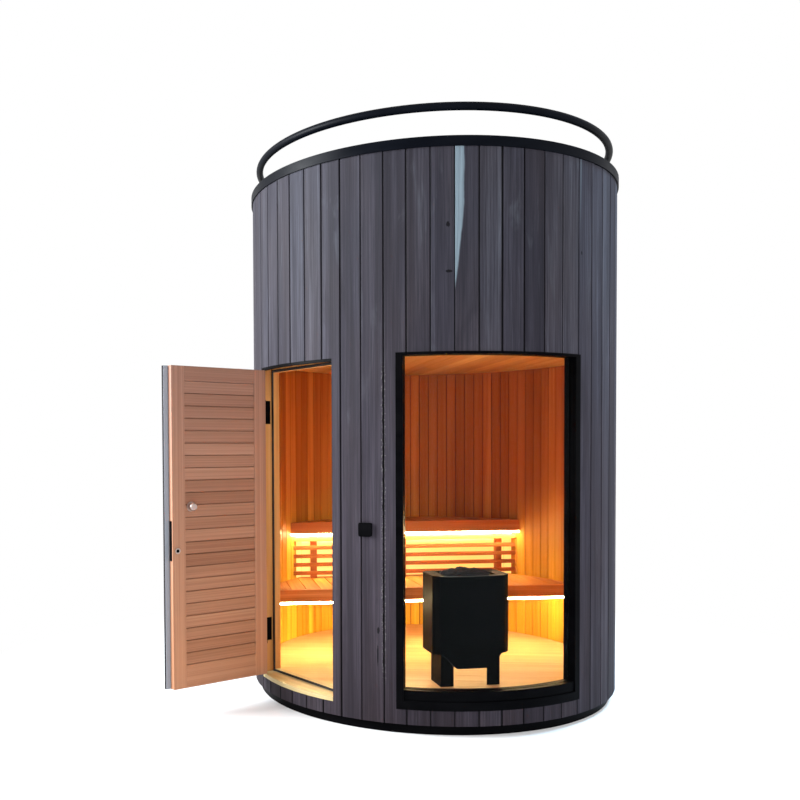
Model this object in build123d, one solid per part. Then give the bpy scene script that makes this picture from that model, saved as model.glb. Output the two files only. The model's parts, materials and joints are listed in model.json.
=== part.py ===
from build123d import *
import os
from math import cos, degrees, radians, sin, sqrt

# Round outdoor sauna: a drum of upright boards with a curved window, a hinged door,
# two bench tiers and a heater inside, and a handrail above the rim.
# Millimetres, +Z up. The origin is on the drum's axis at ground level, and the front
# is -Y. Bearings are degrees from -Y, positive towards +X.

# Drum
DRUM_RADIUS = 1130.0
BOARD_COUNT = 58
BOARD_START = 0.7
CLADDING = 20.0
WALL = 60.0
SIDE_END = 125.0
BASE_HEIGHT = 56.0
BASE_SETBACK = 37.0
BASE_WIDTH = 60.0
WALL_TOP = 3056.0
RIM_HEIGHT = 52.0
RIM_PROUD = 7.0
RIM_INNER_LIP = 8.0

# Floor, ceiling and roof
FLOOR_TOP = 160.0
FLOOR_BOARDS = 28.0
JOIST_COUNT = 5
JOIST_WIDTH = 45.0
JOIST_GAP = 0.5
CEILING_UNDERSIDE = 2074.0
CEILING_BOARDS = 18.0
ROOF_THICKNESS = 130.0

# Handrail
RAIL_INSET = 48.0
RAIL_TUBE = 42.4
RAIL_RISE = 167.0
RAIL_POST = 30.0
RAIL_POST_BEARINGS = (-100.0, -140.0, 180.0, 140.0, 100.0)

# Window
WINDOW_LEFT = -8.8
WINDOW_RIGHT = 45.5
WINDOW_BOTTOM = 137.0
WINDOW_TOP = 2010.0
WINDOW_JAMB = 38.0
WINDOW_HEAD = 14.0
WINDOW_SILL = 100.0
WINDOW_FRAME_DEPTH = 78.0
WINDOW_FRAME_PROUD = 2.0
WINDOW_STEP = 8.0
WINDOW_STEP_HEIGHT = 46.0
GLASS = 10.0
GLASS_SETBACK = 34.0
GLASS_REBATE = 8.0

# Doorway and its frame
DOOR_LEFT = -62.0
DOOR_RIGHT = -27.6
DOOR_TOP = 2000.0
SILL_TOP = 155.0
SILL_BOARD = 25.0
JAMB_BOARD = 30.0
STOP_WIDTH = 24.0
STOP_DEPTH = 40.0
STOP_RISE = 13.0
GASKET = 4.0

# Door leaf
LEAF_GAP = 7.0
LATCH_GAP = 6.0
LEAF_TOP_GAP = 18.0
LEAF_SEAT_GAP = 6.0
LEAF_CORE = 40.0
LEAF_SETBACK = 21.5
LEAF_LIP = 27.0
LEAF_STILE = 82.0
LEAF_TOP_RAIL = 84.0
LEAF_BOTTOM_RAIL = 130.0
SLAT_COUNT = 23
SLAT_INSET = 2.0
SLAT_GROOVE = 5.0
LEAF_OPEN = 91.0

# Hinges and door furniture
PIN_OFFSET = 9.0
PIN_PROUD = 8.0
PIN_RADIUS = 4.0
KNUCKLE_RADIUS = 7.0
HINGE_HEIGHT = 140.0
HINGE_HEIGHTS = (416.0, 1735.0)
HINGE_PLATE = 2.0
HINGE_CLEARANCE = 0.4
HINGE_REBATE = 1.0
KNOB_HEIGHT = 1190.0
KNOB_BACKSET = 118.0
KNOB_RADIUS = 24.0
KNOB_STEM = 10.0
KNOB_REACH = 50.0
KNOB_FLAT = 6.0
ROSE_RADIUS = 27.0
ROSE_DEPTH = 5.0
LOCK_HEIGHT = 1000.0
LOCK_LENGTH = 224.0
LOCK_WIDTH = 22.0
LOCK_PLATE = 3.0
KEY_HEIGHT = 944.0
KEY_BACKSET = 30.0
KEY_RADIUS = 15.0
KEY_DEPTH = 4.0

# Benches
BENCH_BEARING = 15.0
UPPER_SEAT_TOP = 991.0
UPPER_SEAT_DEPTH = 426.0
LOWER_SEAT_TOP = 588.0
LOWER_SEAT_DEPTH = 486.0
SEAT_BOARDS = 28.0
FASCIA = 22.0
FASCIA_HEIGHT = 80.0
LIGHT_STRIP = 14.0
LIGHT_STRIP_INSET = 2.0
FRONT_SLATS = 5
FRONT_SLAT_HEIGHT = 27.0
FRONT_SLAT_DEPTH = 18.0
FRONT_SLAT_FIRST = 24.0
FRONT_SLAT_LAST = 16.0
FRONT_SLAT_SETBACK = 26.0
BENCH_POST = 44.0
BENCH_POST_PLACES = (-667.0, -16.0, 697.0)

# Heater
HEATER_BEARING = 18.35
HEATER_SETBACK = 347.0
HEATER_WIDTH = 450.0
HEATER_DEPTH = 260.0
HEATER_BULGE = 22.0
HEATER_CHAMFER = 34.0
HEATER_TOP = 794.0
HEATER_LEGS = 112.0
HEATER_TAPER = 78.0
HEATER_SHOULDER = 50.0
LEG_WIDTH = 76.0
LEG_THICKNESS = 4.0
STONE_TRAY = 300.0
STONE_TRAY_DEPTH = 180.0
STONE_TRAY_SUNK = 40.0
STONE_RISE = 55.0
STONE_SHOULDER = 43.0
STONE_MARGIN = 20.0

# Control box on the pier
CONTROL_BEARING = -17.2
CONTROL_SIZE = 74.0
CONTROL_DEPTH = 14.0
CONTROL_HEIGHT = 1080.0
CONTROL_CORNER = 10.0

# What follows from the sizes above
BOARD_PITCH = 360.0 / BOARD_COUNT
CLADDING_INNER = DRUM_RADIUS - CLADDING
LINING_RADIUS = CLADDING_INNER - WALL
BASE_RADIUS = DRUM_RADIUS - BASE_SETBACK
RIM_TOP = WALL_TOP + RIM_HEIGHT
RAIL_RADIUS = DRUM_RADIUS - RAIL_INSET
RAIL_HEIGHT = RIM_TOP + RAIL_RISE
FAR = 2.0 * DRUM_RADIUS
BACK = 180.0
DOOR_BEARING = (DOOR_LEFT + DOOR_RIGHT) / 2.0
DOOR_HALF = DRUM_RADIUS * sin(radians((DOOR_RIGHT - DOOR_LEFT) / 2.0))
DOOR_EDGE_FACE = sqrt(DRUM_RADIUS ** 2 - DOOR_HALF ** 2)
LEAF_BOTTOM = SILL_TOP + LEAF_GAP
LEAF_TOP = DOOR_TOP - LEAF_TOP_GAP
LEAF_HINGE_EDGE = -DOOR_HALF + LEAF_GAP
LEAF_LATCH_EDGE = DOOR_HALF - LATCH_GAP
LEAF_OUTER_FACE = DOOR_EDGE_FACE - LEAF_SETBACK
LEAF_INNER_FACE = LEAF_OUTER_FACE - LEAF_CORE
STOP_FACE = LEAF_INNER_FACE - LEAF_SEAT_GAP - GASKET
JAMB_INNER = STOP_FACE - STOP_DEPTH
PIN_X = LEAF_HINGE_EDGE - PIN_OFFSET
PIN_Y = -(DOOR_EDGE_FACE + PIN_PROUD)
UPPER_SEAT_FRONT = LINING_RADIUS - UPPER_SEAT_DEPTH
LOWER_SEAT_FRONT = UPPER_SEAT_FRONT - LOWER_SEAT_DEPTH
HEATER_FRONT = DRUM_RADIUS - HEATER_SETBACK
HEATER_UNDERSIDE = FLOOR_TOP + HEATER_LEGS
STONE_MIDDLE = -HEATER_FRONT + HEATER_DEPTH / 2.0


def facet_points(radius):
    """Corners of the drum's polygon, one at each joint between two boards."""
    bearings = [BOARD_START + i * BOARD_PITCH for i in range(BOARD_COUNT)]
    return [(radius * sin(radians(b)), -radius * cos(radians(b))) for b in bearings]


def facet_prism(radius, low, high):
    """A prism on the drum's polygon."""
    outline = Polyline(*facet_points(radius), close=True)
    return Pos(0, 0, low) * extrude(make_face(outline), amount=high - low)


def facet_ring(inner, outer, low, high):
    """A ring between two polygons, as the boards of a wall."""
    return facet_prism(outer, low, high) - facet_prism(inner, low, high)


def wedge(start, end, low, high):
    """A slice of pie between two bearings, at most half a turn."""
    middle = (start + end) / 2.0
    corners = [(0.0, 0.0)]
    for bearing in (start, (start + middle) / 2.0, middle, (middle + end) / 2.0, end):
        corners.append((FAR * sin(radians(bearing)), -FAR * cos(radians(bearing))))
    face = make_face(Polyline(*corners, close=True))
    return Pos(0, 0, low) * extrude(face, amount=high - low)


def block(x0, x1, y0, y1, z0, z1):
    """A box from its lowest to its highest corner."""
    corner = (Align.MIN, Align.MIN, Align.MIN)
    return Pos(x0, y0, z0) * Box(x1 - x0, y1 - y0, z1 - z0, align=corner)


def at_bearing(bearing, shape):
    """Turn a piece that was drawn facing -Y to its bearing."""
    return Rot(0, 0, bearing) * shape


def doorway_block(x0, x1, reach_in, reach_out, low, high):
    """A box in the doorway, from its distance inside to its distance outside."""
    return at_bearing(DOOR_BEARING, block(x0, x1, -reach_out, -reach_in, low, high))


def in_doorway(shape):
    return at_bearing(DOOR_BEARING, shape)


def opened(shape):
    """Swing a piece of the leaf, drawn closed and facing -Y, to where it stands open."""
    swung = Pos(PIN_X, PIN_Y, 0) * Rot(0, 0, -LEAF_OPEN) * Pos(-PIN_X, -PIN_Y, 0) * shape
    return in_doorway(swung)


def wall_sector(inner, outer, start, end, low, high):
    """One stretch of the drum between two bearings."""
    return facet_ring(inner, outer, low, high) & wedge(start, end, low, high)


def doorway_sides(shape, half, low, high):
    """Cut a doorway of the given half width out of a stretch of the drum."""
    return shape - doorway_block(-half, half, 0.0, FAR, low, high)


def drum_layer(inner, outer, door_half, door_low, door_high):
    """The stretches of one layer of the wall, by name."""
    layer = {}
    after_door = (DOOR_RIGHT + WINDOW_LEFT) / 2.0
    before_door = 2.0 * DOOR_BEARING - after_door
    low = BASE_HEIGHT
    left = wall_sector(inner, outer, -SIDE_END, DOOR_BEARING, low, WALL_TOP)
    over = wall_sector(inner, outer, before_door, after_door, door_high, WALL_TOP)
    over = over & doorway_block(-door_half, door_half, 0.0, FAR, door_high, WALL_TOP)
    under = wall_sector(inner, outer, before_door, after_door, low, door_low)
    under = under & doorway_block(-door_half, door_half, 0.0, FAR, low, door_low)
    pier = wall_sector(inner, outer, DOOR_BEARING, WINDOW_LEFT, low, WALL_TOP)
    layer["left"] = doorway_sides(left, door_half, low, WALL_TOP)
    layer["over_door"] = over
    layer["under_door"] = under
    layer["pier"] = doorway_sides(pier, door_half, low, WALL_TOP)
    layer["over_window"] = wall_sector(inner, outer, WINDOW_LEFT, WINDOW_RIGHT, WINDOW_TOP, WALL_TOP)
    layer["under_window"] = wall_sector(inner, outer, WINDOW_LEFT, WINDOW_RIGHT, low, WINDOW_BOTTOM)
    layer["right"] = wall_sector(inner, outer, WINDOW_RIGHT, SIDE_END, low, WALL_TOP)
    layer["back_right"] = wall_sector(inner, outer, SIDE_END, BACK, low, WALL_TOP)
    layer["back_left"] = wall_sector(inner, outer, -BACK, -SIDE_END, low, WALL_TOP)
    return layer


def base_ring():
    ring = Cylinder(BASE_RADIUS, BASE_HEIGHT) - Cylinder(BASE_RADIUS - BASE_WIDTH, BASE_HEIGHT)
    return Pos(0, 0, BASE_HEIGHT / 2.0) * ring


def threshold_space(low, high):
    """The room that the threshold and the feet of the jambs take up in the floor."""
    half = DOOR_HALF + JAMB_BOARD
    return doorway_block(-half, half, JAMB_INNER, FAR, low, high)


def floor_deck():
    deck = facet_prism(LINING_RADIUS, FLOOR_TOP - FLOOR_BOARDS, FLOOR_TOP)
    return deck - threshold_space(FLOOR_TOP - FLOOR_BOARDS, FLOOR_TOP)


def floor_joists():
    """Joists on the ground inside the base ring, under the floor boards."""
    top = FLOOR_TOP - FLOOR_BOARDS
    reach = BASE_RADIUS - BASE_WIDTH - JOIST_GAP
    spacing = 2.0 * reach / (JOIST_COUNT + 1)
    inside = Pos(0, 0, top / 2.0) * Cylinder(reach, top)
    inside = inside & facet_prism(LINING_RADIUS - JOIST_GAP, 0.0, top)
    inside = inside - threshold_space(SILL_TOP - SILL_BOARD, top)
    joists = []
    for i in range(JOIST_COUNT):
        x = (i - (JOIST_COUNT - 1) / 2.0) * spacing
        joists.append(inside & block(x - JOIST_WIDTH / 2, x + JOIST_WIDTH / 2, -FAR, FAR, 0.0, top))
    return joists


def ceiling():
    return facet_prism(LINING_RADIUS, CEILING_UNDERSIDE, CEILING_UNDERSIDE + CEILING_BOARDS)


def roof_deck():
    underside = CEILING_UNDERSIDE + CEILING_BOARDS
    return facet_prism(LINING_RADIUS, underside, underside + ROOF_THICKNESS)


def rim_cap():
    outer = DRUM_RADIUS + RIM_PROUD
    inner = LINING_RADIUS - RIM_INNER_LIP
    ring = Cylinder(outer, RIM_HEIGHT) - Cylinder(inner, RIM_HEIGHT)
    return Pos(0, 0, WALL_TOP + RIM_HEIGHT / 2.0) * ring


def handrail():
    return Pos(0, 0, RAIL_HEIGHT) * Torus(RAIL_RADIUS, RAIL_TUBE / 2.0)


def rail_posts():
    """Posts that stand on the rim and are coped to the rail."""
    post = Pos(0, -RAIL_RADIUS, RIM_TOP + RAIL_RISE / 2.0) * Cylinder(RAIL_POST / 2.0, RAIL_RISE)
    return [at_bearing(bearing, post) - handrail() for bearing in RAIL_POST_BEARINGS]


def window_frame():
    """Steel frame round the curved glass, with a deep stepped foot and a thin head."""
    outer = DRUM_RADIUS + WINDOW_FRAME_PROUD
    inner = outer - WINDOW_FRAME_DEPTH
    frame = curved_slab(inner, outer, WINDOW_LEFT, WINDOW_RIGHT, WINDOW_BOTTOM, WINDOW_TOP)
    side = degrees(WINDOW_JAMB / DRUM_RADIUS)
    low = WINDOW_BOTTOM + WINDOW_SILL
    high = WINDOW_TOP - WINDOW_HEAD
    hole = curved_slab(inner, outer, WINDOW_LEFT + side, WINDOW_RIGHT - side, low, high)
    step = WINDOW_BOTTOM + WINDOW_STEP_HEIGHT
    ledge = curved_slab(outer - WINDOW_STEP, outer, WINDOW_LEFT + side, WINDOW_RIGHT - side, step, low)
    return frame - hole - ledge - glass_pane()


def curved_slab(inner, outer, start, end, low, high):
    """A plate bent round the drum's axis, with true round faces."""
    ring = Cylinder(outer, high - low) - Cylinder(inner, high - low)
    return Pos(0, 0, (low + high) / 2.0) * ring & wedge(start, end, low, high)


def glass_pane():
    """One bent pane, held in a rebate all round."""
    outer = DRUM_RADIUS - GLASS_SETBACK
    side = degrees((WINDOW_JAMB - GLASS_REBATE) / DRUM_RADIUS)
    low = WINDOW_BOTTOM + WINDOW_SILL - GLASS_REBATE
    high = WINDOW_TOP - WINDOW_HEAD + GLASS_REBATE
    return curved_slab(outer - GLASS, outer, WINDOW_LEFT + side, WINDOW_RIGHT - side, low, high)


def door_jamb(side):
    """Jamb board with its stop, on the hinge side (-1) or the latch side (+1)."""
    face = side * DOOR_HALF
    back = side * (DOOR_HALF + JAMB_BOARD)
    stop = side * (DOOR_HALF - STOP_WIDTH)
    board = block(min(face, back), max(face, back), -FAR, -JAMB_INNER, SILL_TOP, DOOR_TOP)
    lip = block(min(face, stop), max(face, stop), -STOP_FACE, -JAMB_INNER, SILL_TOP, DOOR_TOP)
    return in_doorway(board + lip) & facet_prism(CLADDING_INNER, SILL_TOP, DOOR_TOP)


def door_head():
    half = DOOR_HALF + JAMB_BOARD
    high = DOOR_TOP + JAMB_BOARD
    board = block(-half, half, -FAR, -JAMB_INNER, DOOR_TOP, high)
    inner = DOOR_HALF - STOP_WIDTH
    stop = block(-inner, inner, -STOP_FACE, -JAMB_INNER, DOOR_TOP - STOP_WIDTH, DOOR_TOP)
    return in_doorway(board + stop) & facet_prism(CLADDING_INNER, DOOR_TOP - STOP_WIDTH, high)


def door_sill():
    """Threshold that follows the drum outside and is straight inside."""
    low = SILL_TOP - SILL_BOARD
    outline = facet_prism(DRUM_RADIUS, low, SILL_TOP)
    strip = doorway_block(-DOOR_HALF, DOOR_HALF, JAMB_INNER, FAR, low, SILL_TOP)
    half = DOOR_HALF + JAMB_BOARD
    ends = doorway_block(-half, half, JAMB_INNER, FAR, low, SILL_TOP)
    inner = DOOR_HALF - STOP_WIDTH
    rise = doorway_block(-inner, inner, JAMB_INNER, STOP_FACE, SILL_TOP, SILL_TOP + STOP_RISE)
    return (outline & strip) + (facet_prism(CLADDING_INNER, low, SILL_TOP) & ends) + rise


def door_gasket():
    """Seal on the face of the stop, all round the doorway."""
    outer = DOOR_HALF - STOP_WIDTH / 3.0
    inner = DOOR_HALF - STOP_WIDTH
    face = STOP_FACE + GASKET
    rise = SILL_TOP + STOP_RISE
    head = DOOR_TOP - STOP_WIDTH
    ring = block(-outer, outer, -face, -STOP_FACE, SILL_TOP, DOOR_TOP - STOP_WIDTH / 3.0)
    return in_doorway(ring - block(-inner, inner, -face, -STOP_FACE, rise, head))


def leaf_frame():
    """Stiles and rails of the leaf, round the slatted panel."""
    right = LEAF_LATCH_EDGE - LEAF_LIP
    body = block(LEAF_HINGE_EDGE, right, -LEAF_OUTER_FACE, -LEAF_INNER_FACE, LEAF_BOTTOM, LEAF_TOP)
    return opened(body - panel_block(0.0))


def panel_block(inset):
    """The room that the slatted panel takes up in the leaf."""
    left = LEAF_HINGE_EDGE + LEAF_STILE
    right = LEAF_LATCH_EDGE - LEAF_LIP - LEAF_STILE
    face = LEAF_INNER_FACE + inset
    low = LEAF_BOTTOM + LEAF_BOTTOM_RAIL
    high = LEAF_TOP - LEAF_TOP_RAIL
    return block(left, right, -LEAF_OUTER_FACE, -face, low, high)


def leaf_panel():
    """Level slats with a groove at each joint."""
    panel = panel_block(SLAT_INSET)
    low = LEAF_BOTTOM + LEAF_BOTTOM_RAIL
    pitch = (LEAF_TOP - LEAF_TOP_RAIL - low) / SLAT_COUNT
    half = SLAT_GROOVE / 2.0
    face = -(LEAF_INNER_FACE + SLAT_INSET)
    for i in range(1, SLAT_COUNT):
        z = low + i * pitch
        corners = [(face, z - half), (face, z + half), (face - SLAT_GROOVE, z)]
        notch = make_face(Plane.YZ * Polyline(*corners, close=True))
        panel = panel - extrude(notch, amount=FAR, both=True)
    return opened(panel)


def leaf_cladding():
    """Outer boards of the leaf, which carry the drum's round on when it is shut."""
    outline = facet_prism(DRUM_RADIUS, LEAF_BOTTOM, LEAF_TOP)
    closed = at_bearing(-DOOR_BEARING, outline)
    strip = block(LEAF_HINGE_EDGE, LEAF_LATCH_EDGE, -FAR, -LEAF_OUTER_FACE, LEAF_BOTTOM, LEAF_TOP)
    return opened(closed & strip)


def knuckle(z0, z1):
    """One barrel of a hinge, bored for the pin."""
    return Pos(PIN_X, PIN_Y, (z0 + z1) / 2.0) * Cylinder(KNUCKLE_RADIUS, z1 - z0)


def hinge_bore(z0, z1):
    return Pos(PIN_X, PIN_Y, (z0 + z1) / 2.0) * Cylinder(PIN_RADIUS + HINGE_CLEARANCE, z1 - z0)


def jamb_hinges():
    """The half of each hinge that is fixed to the jamb, with its pin."""
    halves = []
    inner = STOP_FACE + GASKET + LEAF_SEAT_GAP
    third = HINGE_HEIGHT / 3.0
    shoulder = -PIN_Y - KNUCKLE_RADIUS - HINGE_REBATE
    for middle in HINGE_HEIGHTS:
        low = middle - HINGE_HEIGHT / 2.0
        high = middle + HINGE_HEIGHT / 2.0
        plate = block(-DOOR_HALF, -DOOR_HALF + HINGE_PLATE, -shoulder, -inner, low, high)
        half = plate + Pos(PIN_X, PIN_Y, middle) * Cylinder(PIN_RADIUS, HINGE_HEIGHT)
        for z0, z1 in ((low, low + third), (high - third, high)):
            neck = block(-DOOR_HALF, -DOOR_HALF + HINGE_PLATE, PIN_Y, -inner, z0, z1)
            half = half + knuckle(z0, z1) + neck
        halves.append(in_doorway(half))
    return halves


def leaf_hinges():
    """The half of each hinge that is fixed to the leaf."""
    halves = []
    third = HINGE_HEIGHT / 3.0 - HINGE_CLEARANCE
    shoulder = -PIN_Y - KNUCKLE_RADIUS - HINGE_REBATE
    left = LEAF_HINGE_EDGE - HINGE_PLATE - HINGE_REBATE
    for middle in HINGE_HEIGHTS:
        low = middle - HINGE_HEIGHT / 2.0
        high = middle + HINGE_HEIGHT / 2.0
        plate = block(left, LEAF_HINGE_EDGE, -shoulder, -LEAF_INNER_FACE, low, high)
        z0 = middle - third / 2.0
        z1 = middle + third / 2.0
        half = plate + block(left, LEAF_HINGE_EDGE, PIN_Y, -shoulder, z0, z1) + knuckle(z0, z1)
        halves.append(opened(half - hinge_bore(z0, z1)))
    return halves


def door_knob():
    """Turned knob on a round rose, on the inner face of the leaf."""
    upright = (Align.CENTER, Align.CENTER, Align.MIN)
    rose = Cylinder(ROSE_RADIUS, ROSE_DEPTH, align=upright)
    stem = Cylinder(KNOB_STEM, KNOB_REACH - KNOB_RADIUS, align=upright)
    head = Pos(0, 0, KNOB_REACH - KNOB_RADIUS) * Sphere(KNOB_RADIUS)
    head = head - Pos(0, 0, KNOB_REACH - KNOB_FLAT) * Cylinder(KNOB_RADIUS, KNOB_RADIUS, align=upright)
    knob = Rot(-90, 0, 0) * (rose + stem + head)
    x = LEAF_LATCH_EDGE - LEAF_LIP - KNOB_BACKSET
    return opened(Pos(x, -(LEAF_INNER_FACE + SLAT_INSET), KNOB_HEIGHT) * knob)


def door_lock():
    """Faceplate on the leaf's free edge and the keyhole's round plate."""
    edge = LEAF_LATCH_EDGE - LEAF_LIP
    middle = -(LEAF_INNER_FACE + LEAF_CORE / 2.0)
    low = LOCK_HEIGHT - LOCK_LENGTH / 2.0
    high = LOCK_HEIGHT + LOCK_LENGTH / 2.0
    plate = block(edge, edge + LOCK_PLATE, middle - LOCK_WIDTH / 2.0, middle + LOCK_WIDTH / 2.0, low, high)
    disc = Rot(90, 0, 0) * Cylinder(KEY_RADIUS, KEY_DEPTH)
    keyhole = Pos(edge - KEY_BACKSET, -LEAF_INNER_FACE + KEY_DEPTH / 2.0, KEY_HEIGHT) * disc
    return [opened(plate), opened(keyhole)]


def room_slice(y0, y1, z0, z1):
    """A level slice of the room behind a straight front, turned to face the window."""
    inside = at_bearing(-BENCH_BEARING, facet_prism(LINING_RADIUS, z0, z1))
    return at_bearing(BENCH_BEARING, inside & block(-FAR, FAR, y0, y1, z0, z1))


def bench_seat(front, top):
    return room_slice(front + FASCIA, FAR, top - SEAT_BOARDS, top)


def bench_fascia(front, top):
    return room_slice(front, front + FASCIA, top - FASCIA_HEIGHT, top)


def light_strips():
    strips = []
    for front, top in ((UPPER_SEAT_FRONT, UPPER_SEAT_TOP), (LOWER_SEAT_FRONT, LOWER_SEAT_TOP)):
        low = top - FASCIA_HEIGHT - LIGHT_STRIP
        back = front + FASCIA - LIGHT_STRIP_INSET
        strips.append(room_slice(front + LIGHT_STRIP_INSET, back, low, low + LIGHT_STRIP))
    return strips


def bench_front_slats():
    """Level slats that close the front between the two seats."""
    first = LOWER_SEAT_TOP + FRONT_SLAT_FIRST
    last = UPPER_SEAT_TOP - FASCIA_HEIGHT - LIGHT_STRIP - FRONT_SLAT_LAST
    pitch = (last - FRONT_SLAT_HEIGHT - first) / (FRONT_SLATS - 1)
    front = UPPER_SEAT_FRONT + FRONT_SLAT_SETBACK
    slats = []
    for i in range(FRONT_SLATS):
        z = first + i * pitch
        slats.append(room_slice(front, front + FRONT_SLAT_DEPTH, z, z + FRONT_SLAT_HEIGHT))
    return slats


def bench_posts():
    """Posts behind the slats, from the lower seat up to the upper one."""
    front = UPPER_SEAT_FRONT + FRONT_SLAT_SETBACK + FRONT_SLAT_DEPTH
    half = BENCH_POST / 2.0
    high = UPPER_SEAT_TOP - SEAT_BOARDS
    posts = []
    for x in BENCH_POST_PLACES:
        post = block(x - half, x + half, front, front + BENCH_POST, LOWER_SEAT_TOP, high)
        posts.append(at_bearing(BENCH_BEARING, post))
    return posts


def heater_outline():
    """Plan of the heater's casing: bowed towards the window, with cut corners."""
    half = HEATER_WIDTH / 2.0
    front = -HEATER_FRONT
    back = front + HEATER_DEPTH
    cut = HEATER_CHAMFER
    side = half - cut
    bow = ThreePointArc((-side, front + HEATER_BULGE), (0, front), (side, front + HEATER_BULGE))
    rest = Polyline(
        (side, front + HEATER_BULGE),
        (half, front + HEATER_BULGE + cut),
        (half, back - cut),
        (side, back),
        (-side, back),
        (-half, back - cut),
        (-half, front + HEATER_BULGE + cut),
        (-side, front + HEATER_BULGE),
    )
    return make_face(bow + rest)


def heater_casing():
    """Closed casing, with its lower corners cut back to a narrow foot."""
    low = HEATER_UNDERSIDE
    shape = Pos(0, 0, low) * extrude(heater_outline(), amount=HEATER_TOP - low)
    half = HEATER_WIDTH / 2.0
    for side in (-1, 1):
        corners = [
            (side * half, low),
            (side * half, low + HEATER_TAPER),
            (side * (half - HEATER_SHOULDER), low + HEATER_TAPER),
            (side * (half - HEATER_SHOULDER - HEATER_TAPER), low),
        ]
        cut = make_face(Plane.XZ * Polyline(*corners, close=True))
        shape = shape - extrude(cut, amount=FAR, both=True)
    return shape


def stone_well():
    """The room for the stones in the top of the casing."""
    half = STONE_TRAY / 2.0
    deep = STONE_TRAY_DEPTH / 2.0
    low = HEATER_TOP - STONE_TRAY_SUNK
    return block(-half, half, STONE_MIDDLE - deep, STONE_MIDDLE + deep, low, HEATER_TOP)


def heater_body():
    return at_bearing(HEATER_BEARING, heater_casing() - stone_well())


def heater_legs():
    """Two folded legs, a front plate and a side web each, up to the casing's cut corners."""
    casing = heater_casing()
    high = HEATER_UNDERSIDE + HEATER_TAPER
    front = -HEATER_FRONT + HEATER_BULGE + HEATER_CHAMFER
    back = -HEATER_FRONT + HEATER_DEPTH - HEATER_CHAMFER
    outer = HEATER_WIDTH / 2.0 - HEATER_SHOULDER
    legs = []
    for side in (-1, 1):
        edge = side * outer
        fold = side * (outer - LEG_THICKNESS)
        inner = side * (outer - LEG_WIDTH)
        plate = block(min(edge, inner), max(edge, inner), front, front + LEG_THICKNESS, FLOOR_TOP, high)
        web = block(min(edge, fold), max(edge, fold), front, back, FLOOR_TOP, high)
        legs.append(at_bearing(HEATER_BEARING, plate + web - casing))
    return legs


def heater_stones():
    """Heap of stones in the well, as one low ridge."""
    half = STONE_TRAY / 2.0 - STONE_MARGIN
    deep = STONE_TRAY_DEPTH / 2.0 - STONE_MARGIN
    top = [
        (-half, HEATER_TOP),
        (-half / 2, HEATER_TOP + STONE_SHOULDER),
        (0, HEATER_TOP + STONE_RISE),
        (half / 2, HEATER_TOP + STONE_SHOULDER),
        (half, HEATER_TOP),
    ]
    heap = extrude(make_face(Plane.XZ * Polyline(*top, close=True)), amount=deep, both=True)
    return at_bearing(HEATER_BEARING, stone_well() + Pos(0, STONE_MIDDLE, 0) * heap)


def control_box():
    half = CONTROL_SIZE / 2.0
    front = -DRUM_RADIUS - CONTROL_DEPTH
    box = block(-half, half, front, -DRUM_RADIUS, CONTROL_HEIGHT - half, CONTROL_HEIGHT + half)
    box = fillet(box.edges().filter_by(Axis.Y), CONTROL_CORNER)
    return at_bearing(CONTROL_BEARING, box)


def write(name, shape):
    """Write one sub-part, a solid or several, to its own file."""
    solids = shape if isinstance(shape, list) else [shape]
    found = []
    for piece in solids:
        found.extend(piece.solids())
    whole = found[0] if len(found) == 1 else Compound(children=found)
    export_step(whole, "parts/" + name + ".step")


def main():
    os.makedirs("parts", exist_ok=True)
    sill_underside = SILL_TOP - SILL_BOARD
    cladding = drum_layer(CLADDING_INNER, DRUM_RADIUS, DOOR_HALF, sill_underside, DOOR_TOP)
    frame_half = DOOR_HALF + JAMB_BOARD
    frame_top = DOOR_TOP + JAMB_BOARD
    wall = drum_layer(LINING_RADIUS, CLADDING_INNER, frame_half, sill_underside, frame_top)
    cladding["back"] = cladding.pop("back_left") + cladding.pop("back_right")
    for name, shape in cladding.items():
        write("cladding_" + name, shape)
    for name, shape in wall.items():
        write("wall_" + name, shape)
    write("base_ring", base_ring())
    write("floor_deck", floor_deck())
    write("floor_joists", floor_joists())
    write("ceiling", ceiling())
    write("roof_deck", roof_deck())
    write("rim_cap", rim_cap())
    write("handrail", handrail())
    write("rail_posts", rail_posts())
    write("window_frame", window_frame())
    write("window_glass", glass_pane())
    write("door_jamb_hinge", door_jamb(-1))
    write("door_jamb_latch", door_jamb(1))
    write("door_head", door_head())
    write("door_sill", door_sill())
    write("door_gasket", door_gasket())
    write("jamb_hinges", jamb_hinges())
    write("leaf_frame", leaf_frame())
    write("leaf_panel", leaf_panel())
    write("leaf_cladding", leaf_cladding())
    write("leaf_hinges", leaf_hinges())
    write("door_knob", door_knob())
    write("door_lock", door_lock())
    write("upper_seat", bench_seat(UPPER_SEAT_FRONT, UPPER_SEAT_TOP))
    write("upper_fascia", bench_fascia(UPPER_SEAT_FRONT, UPPER_SEAT_TOP))
    write("lower_seat", bench_seat(LOWER_SEAT_FRONT, LOWER_SEAT_TOP))
    write("lower_fascia", bench_fascia(LOWER_SEAT_FRONT, LOWER_SEAT_TOP))
    write("bench_front_slats", bench_front_slats())
    write("bench_posts", bench_posts())
    write("light_strips", light_strips())
    write("heater_body", heater_body())
    write("heater_legs", heater_legs())
    write("heater_stones", heater_stones())
    write("control_box", control_box())


main()
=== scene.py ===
import json
import random
from math import asin, ceil, cos, degrees, pi, radians, sin

import bmesh
import bpy
from mathutils import Matrix, Vector

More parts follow.
